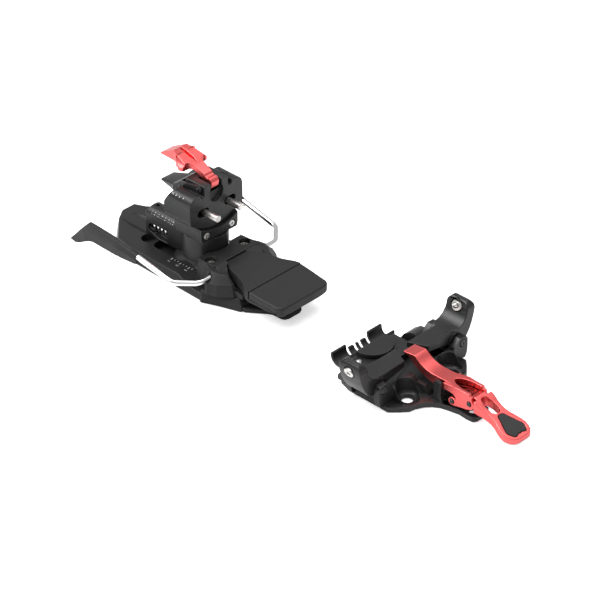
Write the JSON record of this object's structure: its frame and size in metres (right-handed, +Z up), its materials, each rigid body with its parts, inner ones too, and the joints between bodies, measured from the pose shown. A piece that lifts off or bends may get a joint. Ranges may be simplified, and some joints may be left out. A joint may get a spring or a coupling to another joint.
{
  "type": "ski touring binding",
  "caption": "Ski touring binding: toe unit with two pin jaws and a red lever, and a turning heel unit with pins, climbing flaps and a ski brake.",
  "frame": {"origin": "on the ski's top surface and its centreline, straight below the toe pins", "axes": "+X towards the ski's tip, +Y towards the skier's left, +Z up from the ski"},
  "size_m": [0.351, 0.1064, 0.0816],
  "materials": {
    "black_anodised": "satin black anodised",
    "black_plastic": "fine-grained matte black",
    "red_anodised": "satin red anodised",
    "polished_steel": "polished",
    "bright_wire": "bright",
    "dark_steel": "blackened",
    "black_rubber": "matte"
  },
  "bodies": {
    "plates": {"heel_plate": "black_anodised", "length_screw": "dark_steel", "brake_plate": "black_plastic", "brake_base": "black_plastic", "brake_screw_left": "polished_steel", "brake_screw_right": "polished_steel", "pedal_pin": "dark_steel", "brake_spring": "dark_steel", "toe_base": "black_anodised", "boot_rest": "black_plastic", "crampon_clip": "black_plastic", "jaw_axle_left": "dark_steel", "jaw_axle_right": "dark_steel", "toe_spring_left": "polished_steel", "toe_spring_right": "polished_steel", "lever_pin": "dark_steel"},
    "carriage": {"carriage": "black_anodised", "spring_housing": "black_anodised", "release_spring": "polished_steel", "release_screw": "dark_steel", "release_piston": "dark_steel"},
    "turret": {"turret_base": "black_anodised", "turret_spindle": "polished_steel", "turret_screw_left": "polished_steel", "turret_screw_right": "polished_steel", "heel_tower": "black_anodised", "heel_buffer_left": "dark_steel", "heel_buffer_right": "dark_steel", "flap_pin": "dark_steel"},
    "heel_pin_left": {"heel_pin_left": "polished_steel"},
    "heel_pin_right": {"heel_pin_right": "polished_steel"},
    "red_flap": {"red_flap": "red_anodised"},
    "black_flap": {"black_flap": "black_anodised"},
    "pedal": {"brake_pedal": "black_plastic", "pedal_pad": "black_plastic"},
    "brake_arms": {"brake_arm_left": "bright_wire", "brake_arm_right": "bright_wire", "brake_tip_left": "black_plastic", "brake_tip_right": "black_plastic"},
    "jaw_left": {"toe_jaw_left": "black_anodised", "toe_pin_left": "polished_steel", "toe_nut_left": "polished_steel"},
    "jaw_right": {"toe_jaw_right": "black_anodised", "toe_pin_right": "polished_steel", "toe_nut_right": "polished_steel"},
    "lever": {"lever_body": "red_anodised", "handle_pin": "dark_steel"},
    "handle": {"lever_handle": "red_anodised", "handle_pad": "black_rubber"}
  },
  "joints": [
    {"name": "length_adjust", "type": "slide", "parent": "plates", "child": "carriage", "axis": [-1, 0, 0], "range_m": [0, 0.01]},
    {"name": "turret_turn", "type": "hinge", "parent": "carriage", "child": "turret", "pos_m": [-0.176, 0, 0.031], "axis": [0, 0, 1], "continuous": true},
    {"name": "heel_pin_left_swing", "type": "hinge", "parent": "turret", "child": "heel_pin_left", "pos_m": [-0.184, 0.0102, 0.0516], "axis": [0, 0, 1], "range_deg": [0, 9]},
    {"name": "heel_pin_right_swing", "type": "hinge", "parent": "turret", "child": "heel_pin_right", "pos_m": [-0.184, -0.0102, 0.0516], "axis": [0, 0, 1], "range_deg": [-9, 0]},
    {"name": "red_flap_flip", "type": "hinge", "parent": "turret", "child": "red_flap", "pos_m": [-0.1695, 0, 0.0674], "axis": [0, 1, 0], "range_deg": [0, 140]},
    {"name": "black_flap_flip", "type": "hinge", "parent": "turret", "child": "black_flap", "pos_m": [-0.1695, 0, 0.0674], "axis": [0, 1, 0], "range_deg": [0, 154]},
    {"name": "brake_arm_turn", "type": "hinge", "parent": "plates", "child": "brake_arms", "pos_m": [-0.1465, 0, 0.0179], "axis": [0, -1, 0], "range_deg": [0, 75]},
    {"name": "pedal_turn", "type": "hinge", "parent": "plates", "child": "pedal", "pos_m": [-0.1465, 0, 0.0179], "axis": [0, -1, 0], "range_deg": [0, 34]},
    {"name": "lever_turn", "type": "hinge", "parent": "plates", "child": "lever", "pos_m": [0.0423, 0, 0.007], "axis": [0, -1, 0], "range_deg": [0, 12.5]},
    {"name": "jaw_left_close", "type": "hinge", "parent": "plates", "child": "jaw_left", "pos_m": [-0.001, 0.0352, 0.0146], "axis": [1, 0, 0], "range_deg": [0, 24]},
    {"name": "jaw_right_close", "type": "hinge", "parent": "plates", "child": "jaw_right", "pos_m": [-0.001, -0.0352, 0.0146], "axis": [-1, 0, 0], "range_deg": [0, 24]},
    {"name": "handle_turn", "type": "hinge", "parent": "lever", "child": "handle", "pos_m": [0.0558, 0, 0.0115], "axis": [0, -1, 0], "range_deg": [0, 8]}
  ],
  "couplings": [
    {"joint": "heel_pin_right_swing", "follows": "heel_pin_left_swing", "ratio": -1},
    {"joint": "black_flap_flip", "follows": "red_flap_flip", "ratio": 1.1},
    {"joint": "pedal_turn", "follows": "brake_arm_turn", "ratio": 0.45},
    {"joint": "jaw_left_close", "follows": "lever_turn", "ratio": 1.92},
    {"joint": "jaw_right_close", "follows": "lever_turn", "ratio": 1.92}
  ]
}
